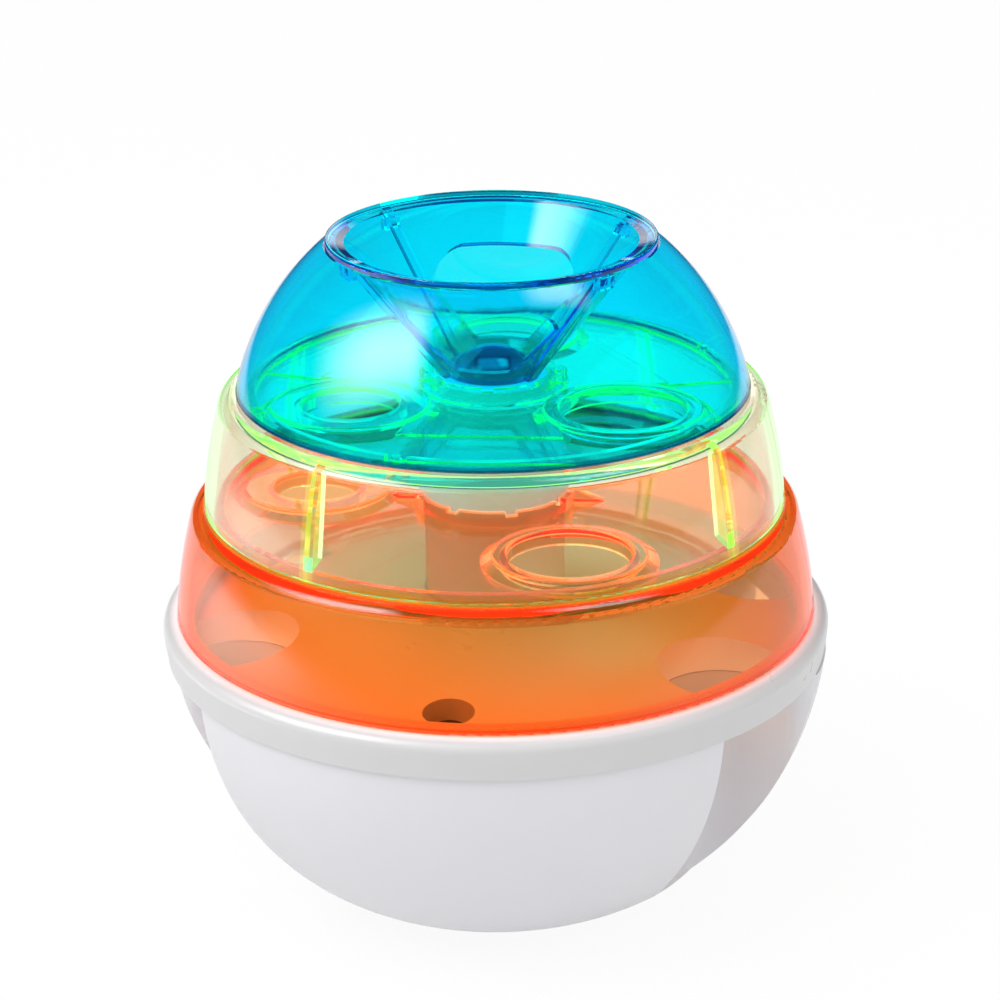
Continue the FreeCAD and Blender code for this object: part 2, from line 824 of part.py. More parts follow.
# Dome with a round opening at the top
def make_dome():
    low = (dome_radius, dome_foot)
    high = (dome_rim_radius, dome_top)
    centre = arc_centre(low, high, dome_arc)
    inner = dome_arc - dome_wall
    rim_low = (dome_opening, centre[1] + math.sqrt(inner**2 - (dome_opening - centre[0]) ** 2))
    inner_foot = (arc_at(centre, inner, dome_foot), dome_foot)
    rounding, side = rounded_foot(centre, dome_arc, dome_foot)
    return turned(rounding + [
        arc_step(centre, side, high),
        (dome_opening, dome_top),
        rim_low,
        arc_step(centre, rim_low, inner_foot),
    ])


# Window of the funnel, cut towards the front
def funnel_window():
    top = dome_top - window_top
    bottom = funnel_foot + window_bottom
    shoulder = top - window_shoulder
    right = [(window_bottom_half, bottom), (window_half, shoulder), (window_half, top)]
    left = [(-x, z) for x, z in reversed(right)]
    body = upright_plate(right + left, reach)
    body.translate(Vector(0, -reach / 2 - spreader_radius, 0))
    along = [e for e in body.Edges if e.BoundBox.YLength > overshoot]
    low = [e for e in along if e.BoundBox.ZMax < bottom + overshoot]
    body = body.makeFillet(window_bottom_round, low)
    along = [e for e in body.Edges if e.BoundBox.YLength > overshoot]
    high = [e for e in along if e.BoundBox.ZMin > top - overshoot]
    return body.makeFillet(window_top_round, high)


# Funnel with flange, two windows, ribs, hooks and a domed spreader floor
def make_funnel():
    floor = funnel_foot + funnel_floor
    mouth_height = flange_foot + funnel_flange - funnel_flange_fall
    slope = (funnel_mouth - funnel_floor_radius) / (mouth_height - floor)
    thick = funnel_wall * math.hypot(1, slope)
    edge = funnel_edge_round
    flange_top = flange_foot + funnel_flange
    low_outer = funnel_floor_radius + thick - (floor - funnel_foot - edge) * slope
    high_outer = funnel_mouth + thick - (mouth_height - flange_foot) * slope
    bump_arc = (spreader_radius**2 + spreader_rise**2) / (2 * spreader_rise)
    centre = (0, floor + spreader_rise - bump_arc)
    round_centre = (funnel_flange_radius - edge, flange_top - edge)
    body = turned([
        (0, floor + spreader_rise),
        arc_step(centre, (0, floor + spreader_rise), (spreader_radius, floor)),
        (funnel_floor_radius, floor),
        (funnel_mouth, mouth_height),
        (funnel_flange_radius - edge, flange_top),
        arc_step(round_centre, (round_centre[0], flange_top), (funnel_flange_radius, round_centre[1])),
        (funnel_flange_radius, flange_foot),
        (high_outer, flange_foot),
        (low_outer, funnel_foot + edge),
        (low_outer - edge, funnel_foot),
        (0, funnel_foot),
    ])
    cuts = [funnel_window(), at_angle(funnel_window(), 180)]
    body = body.cut(cuts)
    limit = dome_opening - turn_gap
    rib = upright_plate([
        (low_outer - thick / 2, funnel_foot + edge),
        (low_outer + funnel_rib_proud, funnel_foot + edge),
        (high_outer + funnel_rib_proud, flange_foot),
        (high_outer - thick / 2, flange_foot),
    ], funnel_rib_width)
    hook_top = dome_top - funnel_hook_drop
    hook_foot = hook_top - funnel_hook_height
    hook = radial_box(limit - funnel_hook_depth, limit, funnel_hook_width, hook_foot, hook_top)
    rib = rib.fuse(hook).common(Part.makeCylinder(limit, reach))
    ribs = [at_angle(rib, angle) for angle in funnel_rib_angles]
    return body.fuse(ribs).removeSplitter()


# Write every piece to its own file
def write_parts():
    os.makedirs("parts", exist_ok=True)
    pieces = {
        "bowl": make_bowl(),
        "base_deck": make_base_deck(),
        "centre_post": make_centre_post(),
        "counterweight": make_counterweight(),
        "weight_clamp": make_weight_clamp(),
        "lower_tier": make_lower_tier(),
        "middle_tier": make_middle_tier(),
        "dome": make_dome(),
        "funnel": make_funnel(),
    }
    seat = deck_recess_floor()
    screws = [screw(deck_screw_place, a, seat, deck_screw_length) for a in deck_screw_angles]
    pieces["deck_screws"] = Part.makeCompound(screws)
    seat = clamp_foot() + clamp_thickness
    screws = [screw(clamp_screw_place, a, seat, clamp_screw_length) for a in clamp_screw_angles]
    pieces["clamp_screws"] = Part.makeCompound(screws)
    screws = [screw_from_below(post_screw_place, a) for a in post_screw_angles]
    pieces["post_screws"] = Part.makeCompound(screws)
    for name, shape in pieces.items():
        print(name, shape.isValid(), len(shape.Solids), round(shape.Volume))
        shape.exportStep("parts/" + name + ".step")


write_parts()
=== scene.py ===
import bpy
import math
from mathutils import Matrix, Quaternion, Vector

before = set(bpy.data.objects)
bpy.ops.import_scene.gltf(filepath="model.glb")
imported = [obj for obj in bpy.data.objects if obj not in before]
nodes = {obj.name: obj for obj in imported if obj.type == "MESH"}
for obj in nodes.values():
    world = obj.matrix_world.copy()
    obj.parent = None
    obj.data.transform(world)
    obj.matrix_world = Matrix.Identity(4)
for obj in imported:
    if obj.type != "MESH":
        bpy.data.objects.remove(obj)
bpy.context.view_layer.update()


# Bowl: the white half ball that the toy rocks on, with four scoops where the treats roll out.
# It is moulded in one shot from white ABS and keeps the fine satin grain of its mould.
bowl_white = (0.69, 0.685, 0.715, 1.0)
bowl_grain = 0.00035
bowl_roughness = 0.4
bowl_grain_strength = 0.12
grain_depth = 0.00002
white_index = 1.5
flow_scale = 22.0
mottle_scale = 240.0
flow_shade = (0.985, 1.0)
flow_gloss = (-0.04, 0.05)
mottle_gloss = (-0.02, 0.02)
noise_low = 0.3
noise_high = 0.7


def set_or_wire(tree, socket, value):
    if isinstance(value, (int, float, tuple, Vector)):
        socket.default_value = value
    else:
        tree.links.new(value, socket)


def new_group(name, inputs, outputs):
    group = bpy.data.node_groups.new(name, "ShaderNodeTree")
    for label, kind, value in inputs:
        socket = group.interface.new_socket(label, in_out="INPUT", socket_type=kind)
        socket.default_value = value
    for label, kind in outputs:
        group.interface.new_socket(label, in_out="OUTPUT", socket_type=kind)
    return group, group.nodes.new("NodeGroupInput"), group.nodes.new("NodeGroupOutput")


def object_place(tree):
    return tree.nodes.new("ShaderNodeTexCoord").outputs["Object"]


def noise_of(tree, place, scale, detail=3.0, roughness=0.5):
    noise = tree.nodes.new("ShaderNodeTexNoise")
    set_or_wire(tree, noise.inputs["Scale"], scale)
    noise.inputs["Detail"].default_value = detail
    noise.inputs["Roughness"].default_value = roughness
    set_or_wire(tree, noise.inputs["Vector"], place)
    return noise.outputs["Fac"]


def math_of(tree, operation, first, second):
    node = tree.nodes.new("ShaderNodeMath")
    node.operation = operation
    set_or_wire(tree, node.inputs[0], first)
    set_or_wire(tree, node.inputs[1], second)
    return node.outputs[0]


def range_of(tree, value, low, high, to_low, to_high):
    node = tree.nodes.new("ShaderNodeMapRange")
    for label, number in zip(("From Min", "From Max", "To Min", "To Max"), (low, high, to_low, to_high)):
        node.inputs[label].default_value = number
    set_or_wire(tree, node.inputs["Value"], value)
    return node.outputs["Result"]


def noise_range(tree, noise, to_low, to_high):
    return range_of(tree, noise, noise_low, noise_high, to_low, to_high)


def mixed_colour(tree, factor, first, second):
    node = tree.nodes.new("ShaderNodeMix")
    node.data_type = "RGBA"
    set_or_wire(tree, node.inputs["Factor"], factor)
    set_or_wire(tree, node.inputs[6], first)
    set_or_wire(tree, node.inputs[7], second)
    return node.outputs[2]


def scaled_colour(tree, colour, share):
    node = tree.nodes.new("ShaderNodeVectorMath")
    node.operation = "SCALE"
    set_or_wire(tree, node.inputs[0], colour)
    set_or_wire(tree, node.inputs["Scale"], share)
    return node.outputs[0]


def make_moulded_skin():
    group, given, out = new_group(
        "Moulded skin",
        [
            ("Colour", "NodeSocketColor", (0.8, 0.8, 0.8, 1.0)),
            ("Grain Size", "NodeSocketFloat", 0.0004),
            ("Roughness", "NodeSocketFloat", 0.4),
        ],
        [("Colour", "NodeSocketColor"), ("Roughness", "NodeSocketFloat"), ("Height", "NodeSocketFloat")],
    )
    place = object_place(group)
    flow = noise_of(group, place, flow_scale, 4.0, 0.55)
    mottle = noise_of(group, place, mottle_scale, 2.0)
    grain_scale = math_of(group, "DIVIDE", 1.0, given.outputs["Grain Size"])
    grain = noise_of(group, place, grain_scale, 2.0)
    shade = noise_range(group, flow, *flow_shade)
    set_or_wire(group, out.inputs["Colour"], scaled_colour(group, given.outputs["Colour"], shade))
    gloss = math_of(
        group, "ADD", noise_range(group, flow, *flow_gloss), noise_range(group, mottle, *mottle_gloss))
    gloss = math_of(group, "ADD", given.outputs["Roughness"], gloss)
    set_or_wire(group, out.inputs["Roughness"], gloss)
    set_or_wire(group, out.inputs["Height"], grain)
    return group


moulded_skin = make_moulded_skin()


def new_material(name):
    material = bpy.data.materials.new(name)
    material.use_nodes = True
    tree = material.node_tree
    tree.nodes.clear()
    out = tree.nodes.new("ShaderNodeOutputMaterial")
    shader = tree.nodes.new("ShaderNodeBsdfPrincipled")
    tree.links.new(shader.outputs[0], out.inputs["Surface"])
    return material, tree, shader, out


def bumped(tree, shader, height, strength, depth):
    bump = tree.nodes.new("ShaderNodeBump")
    bump.inputs["Strength"].default_value = strength
    bump.inputs["Distance"].default_value = depth
    tree.links.new(height, bump.inputs["Height"])
    tree.links.new(bump.outputs["Normal"], shader.inputs["Normal"])


def white_plastic(name, colour, grain, roughness, strength):
    material, tree, shader = new_material(name)[:3]
    skin = tree.nodes.new("ShaderNodeGroup")
    skin.node_tree = moulded_skin
    skin.inputs["Colour"].default_value = colour
    skin.inputs["Grain Size"].default_value = grain
    skin.inputs["Roughness"].default_value = roughness
    tree.links.new(skin.outputs["Colour"], shader.inputs["Base Color"])
    tree.links.new(skin.outputs["Roughness"], shader.inputs["Roughness"])
    shader.inputs["IOR"].default_value = white_index
    bumped(tree, shader, skin.outputs["Height"], strength, grain_depth)
    return material, tree, skin


def finish_node(name, material):
    for slot in nodes[name].material_slots:
        slot.material = material


bowl_plastic = white_plastic(
    "Bowl plastic", bowl_white, bowl_grain, bowl_roughness, bowl_grain_strength)[0]
finish_node("bowl", bowl_plastic)


# Counterweight: a turned steel disc in a seat at the bottom of the bowl, left as it was cut.
# Fine rings from the lathe show on its faces; nothing but the clamp plate holds it down.
steel_grey = (0.42, 0.425, 0.44, 1.0)
lathe_pitch = 0.0004
steel_roughness = 0.36
steel_spread = 0.07
steel_shadow = 0.82
steel_cloud_scale = 180.0
ring_repeat = 0.314
ring_strength = 0.3
ring_depth = 0.00001


def share_of(colour, share):
    return tuple(channel * share for channel in colour[:3]) + (1.0,)


def turned_steel(name, colour, ring_pitch, roughness):
    material, tree, shader = new_material(name)[:3]
    place = object_place(tree)
    rings = tree.nodes.new("ShaderNodeTexWave")
    rings.wave_type = "RINGS"
    rings.rings_direction = "Z"
    rings.inputs["Scale"].default_value = ring_repeat / ring_pitch
    rings.inputs["Distortion"].default_value = 0.6
    rings.inputs["Detail"].default_value = 2.0
    tree.links.new(place, rings.inputs["Vector"])
    cloud = noise_of(tree, place, steel_cloud_scale)
    shade = mixed_colour(tree, cloud, share_of(colour, steel_shadow), colour)
    tree.links.new(shade, shader.inputs["Base Color"])
    shader.inputs["Metallic"].default_value = 1.0
    gloss = noise_range(tree, cloud, roughness - steel_spread, roughness + steel_spread)
    tree.links.new(gloss, shader.inputs["Roughness"])
    bumped(tree, shader, rings.outputs["Fac"], ring_strength, ring_depth)
    return material


finish_node("counterweight", turned_steel("Turned steel", steel_grey, lathe_pitch, steel_roughness))


# Clamp plate and its screws: a flat white disc screwed down on the weight by four ears.
# It is punched from plastic sheet, so it is a little duller than the moulded pieces.
clamp_white = (0.72, 0.72, 0.73, 1.0)
zinc_grey = (0.55, 0.56, 0.58, 1.0)
clamp_plastic = white_plastic("Clamp plastic", clamp_white, grain=0.0006, roughness=0.5, strength=0.15)[0]
finish_node("weight_clamp", clamp_plastic)
screw_steel = turned_steel("Zinc plated steel", zinc_grey, ring_pitch=0.0006, roughness=0.3)
finish_node("clamp_screws", screw_steel)


# Base deck: the white floor with its band, which closes the bowl and carries the tiers.
# The same ABS as the bowl from a glossier mould, held down by two screws near its edge.
# Its floor is painted brighter than the bowl, as painted light for the stronger light on the deck among the
# tiers; its band and the two screw recesses are painted darker, as painted shade.
deck_white_painted_light = (0.94, 0.93, 0.935, 1.0)
band_painted_shade = 0.63
band_start = 0.0632
band_full = 0.0645
recess_painted_shade = 0.66
deck_screw_place = (0.0, 0.05, 0.0)
recess_radius = 0.0048
recess_edge = 0.0001
flat = (1.0, 1.0, 0.0)


def vector_of(tree, operation, first, second=(0.0, 0.0, 0.0)):
    node = tree.nodes.new("ShaderNodeVectorMath")
    node.operation = operation
    set_or_wire(tree, node.inputs[0], first)
    node.inputs[1].default_value = second
    return node


def measure(tree, operation, first, second=(0.0, 0.0, 0.0)):
    return vector_of(tree, operation, first, second).outputs["Value"]


deck_plastic, tree, skin = white_plastic(
    "Deck plastic", deck_white_painted_light, grain=0.0005, roughness=0.32, strength=0.1)
place = vector_of(tree, "MULTIPLY", object_place(tree), flat).outputs[0]
# Painted shade: from 63.2 mm out the band is painted at 63 % of the deck white, and the deck white itself is
# painted brighter than the bowl's as painted light.
band_shade_mask = range_of(tree, measure(tree, "LENGTH", place), band_start, band_full, 0.0, 1.0)
shade = mixed_colour(tree, band_shade_mask, deck_white_painted_light, share_of(deck_white_painted_light, band_painted_shade))
# Painted shade: within 4.8 mm of each screw's axis the deck is painted at 66 % of its white, darkening the
# recess walls and floor.
one_side = vector_of(tree, "ABSOLUTE", place).outputs[0]
from_screw = measure(tree, "DISTANCE", one_side, deck_screw_place)
recess_shade_mask = range_of(tree, from_screw, recess_radius, recess_radius + recess_edge, 1.0, 0.0)
shade = mixed_colour(tree, recess_shade_mask, shade, share_of(deck_white_painted_light, recess_painted_shade))
tree.links.new(shade, skin.inputs["Colour"])
finish_node("base_deck", deck_plastic)


# Deck screws: two cross-slot screws that hold the deck down on the bowl, painted near black as painted shade
# for their deep recesses.
# They are sunk in round recesses at the front and the back of the deck.
recess_shade_steel = (0.035, 0.033, 0.03, 1.0)
deck_screw_steel = turned_steel("Steel painted as recess shade", recess_shade_steel, ring_pitch=0.0006, roughness=0.4)
finish_node("deck_screws", deck_screw_steel)


# Centre post: a hollow white spindle on which both tiers turn, fixed from below by three screws.
# Its bearing faces are rubbed smooth by the hubs, so it has the highest gloss of the white pieces.
post_white = (0.82, 0.815, 0.82, 1.0)
post_plastic = white_plastic("Post plastic", post_white, grain=0.0006, roughness=0.26, strength=0.08)[0]
finish_node("centre_post", post_plastic)
finish_node("post_screws", screw_steel)


# Lower tier: the clear orange ring with three treat holes that turns on the post.
# Moulded from tinted clear polystyrene; the dye is in the plastic, so edges look deeper than walls.
# Pale painted glow stands in for light trapped in a wall, and it is painted four to five times stronger
# within 47 mm of the axis, at the rims of the holes and of the hub.
orange_dye = (0.997, 0.57, 0.06, 1.0)
orange_strength = 740.0
orange_face = (1.0, 0.985, 0.97, 1.0)
orange_painted_glow = (1.0, 0.72, 0.45, 1.0)
orange_painted_glow_strength = 0.12
orange_foot = 0.0600
# Painted edge light: the lowest part of the wall is painted red-orange, standing in for light trapped in the
# foot edge.
orange_painted_foot_line = (1.0, 0.3, 0.1, 1.0)
orange_lets_through = (1.0, 0.88, 0.78, 1.0)
no_glow = (0.0, 0.0, 0.0, 1.0)
rim_painted_glow_gain = (4.0, 4.8, 5.5)
rim_painted_glow_reach = 0.047
foot_line_height = 0.0006
plastic_index = 1.46
trapped_limit = 0.6
line_fade = 0.7
wall_wave_scale = 30.0
wall_wave_shade = (0.993, 1.0)
wall_wave_strength = 0.12
wall_wave_depth = 0.0004
haze_scale = 130.0
haze_start = 0.45
haze_full = 0.75
haze_gloss = 0.03


def make_clear_skin():
    group, given, out = new_group(
        "Clear skin",
        [("Colour", "NodeSocketColor", (1.0, 1.0, 1.0, 1.0)), ("Roughness", "NodeSocketFloat", 0.03)],
        [("Colour", "NodeSocketColor"), ("Roughness", "NodeSocketFloat"), ("Height", "NodeSocketFloat")],
    )
    place = object_place(group)
    wave = noise_of(group, place, wall_wave_scale)
    haze = noise_of(group, place, haze_scale, 4.0, 0.6)
    shade = noise_range(group, wave, *wall_wave_shade)
    set_or_wire(group, out.inputs["Colour"], scaled_colour(group, given.outputs["Colour"], shade))
    gloss = range_of(group, haze, haze_start, haze_full, 0.0, haze_gloss)
    gloss = math_of(group, "ADD", given.outputs["Roughness"], gloss)
    set_or_wire(group, out.inputs["Roughness"], gloss)
    set_or_wire(group, out.inputs["Height"], wave)
    return group


clear_skin = make_clear_skin()


def clear_plastic(name, dye, strength, face, painted_wall_glow, painted_glow, painted_glow_strength,
                  foot, line_height, painted_foot_colour, lets_through):
    material, tree, shader, out = new_material(name)
    skin = tree.nodes.new("ShaderNodeGroup")
    skin.node_tree = clear_skin
    height = tree.nodes.new("ShaderNodeSeparateXYZ")
    tree.links.new(object_place(tree), height.inputs[0])
    # Painted edge tint: below the foot height plus a fraction of a millimetre the skin takes the foot
    # colour, standing in for light trapped in the foot edge.
    line_start = foot + line_height * line_fade
    above_foot = range_of(tree, height.outputs["Z"], line_start, foot + line_height, 0.0, 1.0)
    tree.links.new(mixed_colour(tree, above_foot, painted_foot_colour, face), skin.inputs["Colour"])
    tree.links.new(skin.outputs["Colour"], shader.inputs["Base Color"])
    tree.links.new(skin.outputs["Roughness"], shader.inputs["Roughness"])
    shader.inputs["Transmission Weight"].default_value = 1.0
    shader.inputs["IOR"].default_value = plastic_index
    # Painted glow: a face seen from inside the wall at a grazing angle, where light would stay trapped,
    # gives off the painted glow colour; every other face gives off the painted wall glow colour.
    turned_back = tree.nodes.new("ShaderNodeFresnel")
    turned_back.inputs["IOR"].default_value = plastic_index
    inner_side = tree.nodes.new("ShaderNodeNewGeometry").outputs["Backfacing"]
    trapped = math_of(tree, "GREATER_THAN", turned_back.outputs[0], trapped_limit)
    trapped = math_of(tree, "MULTIPLY", trapped, inner_side)
    tree.links.new(mixed_colour(tree, trapped, painted_wall_glow, painted_glow), shader.inputs["Emission Color"])
    shader.inputs["Emission Strength"].default_value = painted_glow_strength
    bumped(tree, shader, skin.outputs["Height"], wall_wave_strength, wall_wave_depth)
    inside = tree.nodes.new("ShaderNodeVolumeAbsorption")
    inside.inputs["Color"].default_value = dye
    inside.inputs["Density"].default_value = strength
    tree.links.new(inside.outputs[0], out.inputs["Volume"])
    through = tree.nodes.new("ShaderNodeBsdfTransparent")
    through.inputs["Color"].default_value = lets_through
    ray = tree.nodes.new("ShaderNodeLightPath")
    lamp_or_soft = math_of(tree, "MAXIMUM", ray.outputs["Is Shadow Ray"], ray.outputs["Is Diffuse Ray"])
    blend = tree.nodes.new("ShaderNodeMixShader")
    for socket, source in zip(blend.inputs, (lamp_or_soft, shader.outputs[0], through.outputs[0])):
        tree.links.new(source, socket)
    tree.links.new(blend.outputs[0], out.inputs["Surface"])
    return material, tree, shader


orange_plastic, tree, shader = clear_plastic(
    "Clear orange", orange_dye, orange_strength, orange_face, no_glow, orange_painted_glow, orange_painted_glow_strength,
    orange_foot, foot_line_height, orange_painted_foot_line, orange_lets_through)
# Painted glow: within 47 mm of the axis the trapped glow is multiplied four to five and a half times.
place = vector_of(tree, "MULTIPLY", object_place(tree), flat).outputs[0]
rim_glow_mask = math_of(tree, "LESS_THAN", measure(tree, "LENGTH", place), rim_painted_glow_reach)
usual_glow = shader.inputs["Emission Color"].links[0].from_socket
rim_painted_glow = vector_of(tree, "MULTIPLY", usual_glow, rim_painted_glow_gain).outputs[0]
tree.links.new(mixed_colour(tree, rim_glow_mask, usual_glow, rim_painted_glow), shader.inputs["Emission Color"])
finish_node("lower_tier", orange_plastic)


# Middle tier: the pale clear yellow ring that hangs on the head of the post.
# Moulded from the same clear plastic as the lower tier; a painted green glow stands in for light trapped at
# thick edges, and a painted lime glow covers its four upright ribs.
yellow_dye = (0.68, 0.93, 0.0, 1.0)
yellow_strength = 64.0
yellow_face = (0.998, 1.0, 0.985, 1.0)
yellow_painted_glow = (0.45, 1.0, 0.5, 1.0)
yellow_painted_glow_strength = 0.14
yellow_foot = 0.0826
# Painted edge light: the lowest part of the wall is painted bright yellow, standing in for light trapped in
# the foot edge.
yellow_painted_foot_line = (0.95, 1.0, 0.3, 1.0)
yellow_lets_through = (0.99, 0.99, 0.92, 1.0)
rib_painted_glow = (0.5, 1.2, 0.0, 1.0)
rib_turn = math.radians(62.0)
rib_half = 0.00105
rib_start = 0.04
rib_top = 0.1032
yellow_plastic, tree, shader = clear_plastic(
    "Clear yellow", yellow_dye, yellow_strength, yellow_face, no_glow, yellow_painted_glow, yellow_painted_glow_strength,
    yellow_foot, foot_line_height, yellow_painted_foot_line, yellow_lets_through)
# Painted glow: within 1.05 mm of the rib planes, beyond 40 mm from the axis and under the deck, every face
# gives off the lime rib glow.
turned = tree.nodes.new("ShaderNodeVectorRotate")
turned.rotation_type = "Z_AXIS"
turned.inputs["Angle"].default_value = -rib_turn
tree.links.new(object_place(tree), turned.inputs["Vector"])
place = tree.nodes.new("ShaderNodeSeparateXYZ")
tree.links.new(vector_of(tree, "ABSOLUTE", turned.outputs[0]).outputs[0], place.inputs[0])
across, along, height = place.outputs
in_rib = math_of(tree, "LESS_THAN", math_of(tree, "MINIMUM", across, along), rib_half)
past_hub = math_of(tree, "GREATER_THAN", math_of(tree, "MAXIMUM", across, along), rib_start)
under_deck = math_of(tree, "LESS_THAN", height, rib_top)
in_rib = math_of(tree, "MULTIPLY", math_of(tree, "MULTIPLY", in_rib, past_hub), under_deck)
usual_glow = shader.inputs["Emission Color"].links[0].from_socket
tree.links.new(mixed_colour(tree, in_rib, usual_glow, rib_painted_glow), shader.inputs["Emission Color"])
finish_node("middle_tier", yellow_plastic)


# Dome: the clear blue cap with its round mouth, which lifts off the middle tier.
# It is moulded from clear plastic with a strong blue dye; every face gives off a faint painted blue glow
# that stands in for light scattered in the wall.
# Its lowest 0.8 mm is painted dark navy, a painted edge shade standing in for the deep colour of light
# trapped in its foot.
blue_dye = (0.0, 0.979, 0.9995, 1.0)
blue_strength = 3200.0
blue_face = (1.0, 1.0, 1.0, 1.0)
blue_painted_trapped_glow = (0.0, 0.1, 0.2, 1.0)
blue_painted_wall_glow = (0.0, 0.12, 0.5, 1.0)
blue_painted_glow_strength = 0.05
blue_foot = 0.1051
blue_foot_height = 0.0008
blue_painted_foot_line = (0.1, 0.16, 0.3, 1.0)
blue_lets_through = (0.99, 0.99, 0.99, 1.0)
dome_plastic = clear_plastic(
    "Clear blue", blue_dye, blue_strength, blue_face, blue_painted_wall_glow, blue_painted_trapped_glow, blue_painted_glow_strength,
    blue_foot, blue_foot_height, blue_painted_foot_line, blue_lets_through)[0]
finish_node("dome", dome_plastic)


# Funnel: the loose clear blue insert that guides treats to its two windows and round its spreader.
# Moulded from the dome's plastic and held in the dome's mouth by four hooks under its rim.
# Its thick domed floor looks deepest blue, partly from its thickness and partly from painted shade: its
# lowest 5 mm are painted a dark grey-green.
funnel_floor = 0.1060
funnel_floor_height = 0.0076
funnel_floor_painted_shade = (0.2, 0.36, 0.22, 1.0)
funnel_plastic = clear_plastic(
    "Clear blue insert", blue_dye, blue_strength, blue_face, blue_painted_wall_glow, blue_painted_trapped_glow, blue_painted_glow_strength,
    funnel_floor, funnel_floor_height, funnel_floor_painted_shade, blue_lets_through)[0]
finish_node("funnel", funnel_plastic)


# Studio: a plain pale floor under a light tent that is brightest overhead, and two soft boxes.
# The background is white to the camera and through the clear pieces; mirrored rays see a dark room,
# the bright floor at the sides and behind, with a painted pool of light on it to the left, and three pale
# cards.
floor_white = (0.84, 0.84, 0.84, 1.0)
floor_size = 8.0
floor_drop = 0.00005
floor_white_share = 0.93
tent_side = 0.22
tent_top = 1.15
far_dark = 0.03
backdrop_fade = (0.1, 0.5)
backdrop_dark = 0.3
bright_floor = 0.9
bright_floor_fade = (0.9, 0.6)
bright_floor_front_fade = (-0.35, -0.1)
floor_painted_pool = 2.2
floor_painted_pool_fade = (0.26, 0.06)
pure_white = (1.0, 1.0, 1.0, 1.0)
view_turn = 10.0
studio_right = Vector((math.cos(math.radians(view_turn)), math.sin(math.radians(view_turn)), 0.0))
studio_away = Vector((-studio_right.y, studio_right.x, 0.0))
floor_painted_pool_place = studio_away * 0.02 - studio_right * 0.4
studio_centre = Vector((0.0, 0.0, 0.07))


def seen_directly(tree):
    ray = tree.nodes.new("ShaderNodeLightPath")
    return ray, math_of(tree, "MAXIMUM", ray.outputs["Is Camera Ray"], ray.outputs["Is Transmission Ray"])


def plain_light(tree, kind, level):
    light = tree.nodes.new(kind)
    light.inputs["Color"].default_value = pure_white
    set_or_wire(tree, light.inputs["Strength"], level)
    return light.outputs[0]


def either(tree, factor, first, second):
    blend = tree.nodes.new("ShaderNodeMixShader")
    for socket, source in zip(blend.inputs, (factor, first, second)):
        tree.links.new(source, socket)
    return blend.outputs[0]


def smooth_step(tree, value, start, end):
    step = tree.nodes.new("ShaderNodeMapRange")
    step.interpolation_type = "SMOOTHSTEP"
    step.inputs["From Min"].default_value = start
    step.inputs["From Max"].default_value = end
    tree.links.new(value, step.inputs["Value"])
    return step.outputs["Result"]


world = bpy.data.worlds.new("Studio world")
world.use_nodes = True
bpy.context.scene.world = world
tree = world.node_tree
tree.nodes.clear()
sky_out = tree.nodes.new("ShaderNodeOutputWorld")
direction = tree.nodes.new("ShaderNodeSeparateXYZ")
tree.links.new(tree.nodes.new("ShaderNodeTexCoord").outputs["Generated"], direction.inputs[0])
ray, direct = seen_directly(tree)
tent_level = range_of(tree, direction.outputs["Z"], 0.0, 1.0, tent_side, tent_top)
tent = plain_light(tree, "ShaderNodeBackground", tent_level)
mirrored = plain_light(tree, "ShaderNodeBackground", far_dark)
soft_or_mirrored = either(tree, ray.outputs["Is Glossy Ray"], tent, mirrored)
overhead = smooth_step(tree, direction.outputs["Z"], *backdrop_fade)
seen_level = range_of(tree, overhead, 0.0, 1.0, 1.0, backdrop_dark)
seen = plain_light(tree, "ShaderNodeBackground", seen_level)
tree.links.new(either(tree, direct, soft_or_mirrored, seen), sky_out.inputs["Surface"])

bpy.ops.mesh.primitive_plane_add(size=floor_size, location=(0.0, 0.0, -floor_drop))
floor = bpy.context.active_object
floor.name = "floor"
floor_paint, tree, shader, out = new_material("Floor paint")
shader.inputs["Base Color"].default_value = floor_white
shader.inputs["Roughness"].default_value = 0.9
shader.inputs["Specular IOR Level"].default_value = 0.0
ray, direct = seen_directly(tree)
share = math_of(tree, "MULTIPLY", direct, floor_white_share)
spot = object_place(tree)
near = smooth_step(tree, measure(tree, "LENGTH", spot), *bright_floor_fade)
side_and_back = smooth_step(tree, measure(tree, "DOT_PRODUCT", spot, studio_away), *bright_floor_front_fade)
plain = math_of(tree, "MULTIPLY", math_of(tree, "MULTIPLY", near, side_and_back), bright_floor)
# Painted light: a pool of light painted on the floor to the left, seen only in reflections.
painted_pool = smooth_step(tree, measure(tree, "DISTANCE", spot, floor_painted_pool_place), *floor_painted_pool_fade)
level = math_of(tree, "ADD", plain, math_of(tree, "MULTIPLY", painted_pool, floor_painted_pool))
level = math_of(tree, "ADD", level, far_dark)
mirrored = plain_light(tree, "ShaderNodeEmission", level)
lit = either(tree, ray.outputs["Is Glossy Ray"], shader.outputs[0], mirrored)
white = plain_light(tree, "ShaderNodeEmission", 1.0)
tree.links.new(either(tree, share, lit, white), out.inputs["Surface"])
floor.data.materials.append(floor_paint)


def studio_direction(left_of_view, elevation):
    turn = math.radians(view_turn - left_of_view)
    rise = math.radians(elevation)
    return Vector((math.sin(turn) * math.cos(rise), -math.cos(turn) * math.cos(rise), math.sin(rise)))


def soft_box(name, left_of_view, elevation, distance, width, height, power):
    back = studio_direction(left_of_view, elevation)
    data = bpy.data.lights.new(name, "AREA")
    data.shape = "RECTANGLE"
    data.size = width
    data.size_y = height
    data.energy = power
    lamp = bpy.data.objects.new(name, data)
    lamp.location = studio_centre + back * distance
    lamp.rotation_mode = "QUATERNION"
    lamp.rotation_quaternion = back.to_track_quat("Z", "Y")
    lamp.visible_glossy = False
    bpy.context.scene.collection.objects.link(lamp)


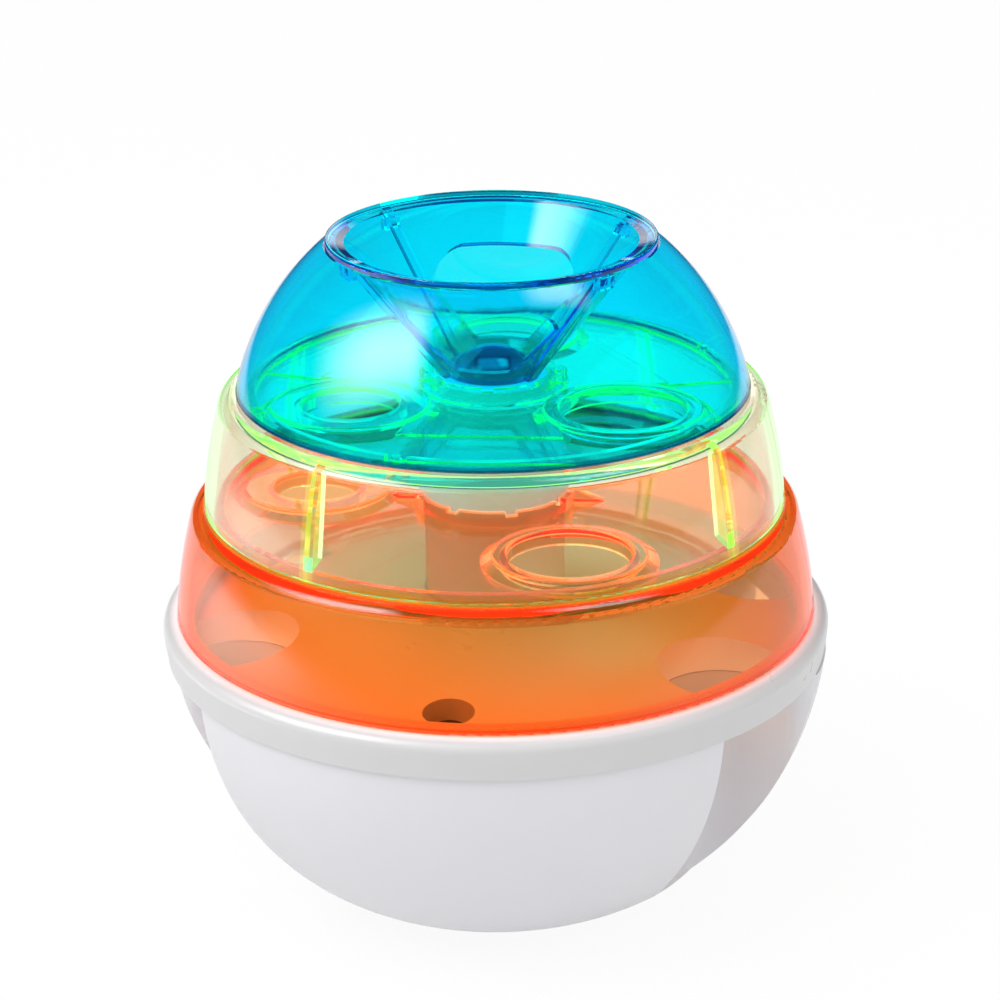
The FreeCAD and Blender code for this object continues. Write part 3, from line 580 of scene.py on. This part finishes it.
soft_box("Key soft box", left_of_view=60.0, elevation=50.0, distance=1.0, width=1.0, height=0.7, power=7.3)
soft_box("Fill soft box", left_of_view=-70.0, elevation=25.0, distance=1.3, width=0.7, height=0.7, power=3.2)


def shine_card(name, aim, spin, sides, fades, brightness, through):
    paper = bpy.data.materials.new(name + " light")
    paper.use_nodes = True
    tree = paper.node_tree
    tree.nodes.clear()
    out = tree.nodes.new("ShaderNodeOutputMaterial")
    place = tree.nodes.new("ShaderNodeSeparateXYZ")
    tree.links.new(object_place(tree), place.inputs[0])
    strength = brightness
    for axis, start, end in fades:
        fade = smooth_step(tree, place.outputs[axis], start, end)
        strength = math_of(tree, "MULTIPLY", fade, strength)
    tree.links.new(plain_light(tree, "ShaderNodeEmission", strength), out.inputs["Surface"])
    left, right, low, high = sides
    corners = [(left, low, 0.0), (right, low, 0.0), (right, high, 0.0), (left, high, 0.0)]
    mesh = bpy.data.meshes.new(name)
    mesh.from_pydata(corners, [], [(0, 1, 2, 3)])
    mesh.materials.append(paper)
    card = bpy.data.objects.new(name, mesh)
    back = studio_direction(*aim)
    card.rotation_mode = "QUATERNION"
    in_plane = Quaternion((0.0, 0.0, 1.0), math.radians(spin))
    card.rotation_quaternion = back.to_track_quat("Z", "Y") @ in_plane
    card.location = studio_centre + back
    card.visible_camera = False
    card.visible_diffuse = False
    card.visible_transmission = through
    card.visible_shadow = False
    bpy.context.scene.collection.objects.link(card)


shine_card(
    "left_card", aim=(70.0, 44.0), spin=45.0, sides=(-0.66, 0.37, -0.48, 0.40),
    fades=(("X", 0.37, 0.2), ("X", -0.65, 0.0), ("Y", -0.48, -0.05), ("Y", 0.40, -0.02)),
    brightness=12.5, through=False)
shine_card(
    "top_card", aim=(-60.0, 78.0), spin=-39.0, sides=(-0.06, 0.50, -0.18, 0.32),
    fades=(("X", -0.05, 0.15), ("X", 0.49, 0.27), ("Y", -0.17, -0.02), ("Y", 0.31, 0.22)),
    brightness=7.0, through=False)
shine_card(
    "back_card", aim=(180.0, 21.0), spin=0.0, sides=(-0.32, 0.32, -0.18, 0.18),
    fades=(("X", -0.32, -0.18), ("X", 0.32, 0.18), ("Y", -0.18, -0.06), ("Y", 0.18, 0.06)),
    brightness=1.8, through=True)


# Camera: the photograph's own view, a long lens a little above the toy, with its slight tilt.
# Clear pieces need many bounces, so the light paths are long; the colours are left as they are lit.
camera_rise = 0.3714
camera_turn = math.radians(view_turn)
camera_roll = -0.011
camera_distance = 0.5869
camera_target = Vector((0.001064, 0.000188, 0.08097))
film_width = 36.0
lens_length = 107.98
back = Vector((
    math.sin(camera_turn) * math.cos(camera_rise),
    -math.cos(camera_turn) * math.cos(camera_rise),
    math.sin(camera_rise),
))
right = Vector((math.cos(camera_turn), math.sin(camera_turn), 0.0))
up = back.cross(right)
tilted_right = right * math.cos(camera_roll) + up * math.sin(camera_roll)
tilted_up = up * math.cos(camera_roll) - right * math.sin(camera_roll)
lens = bpy.data.cameras.new("Camera")
lens.sensor_width = film_width
lens.lens = lens_length
lens.clip_start = 0.01
lens.clip_end = 50.0
camera = bpy.data.objects.new("Camera", lens)
turn = Matrix((tilted_right, tilted_up, back)).transposed()
camera.matrix_world = Matrix.Translation(camera_target + back * camera_distance) @ turn.to_4x4()
bpy.context.scene.collection.objects.link(camera)
bpy.context.scene.camera = camera

bpy.context.scene.view_settings.view_transform = "Standard"
light_paths = bpy.context.scene.cycles
light_paths.max_bounces = 28
light_paths.transmission_bounces = 28
light_paths.glossy_bounces = 10
light_paths.diffuse_bounces = 6
light_paths.transparent_max_bounces = 40
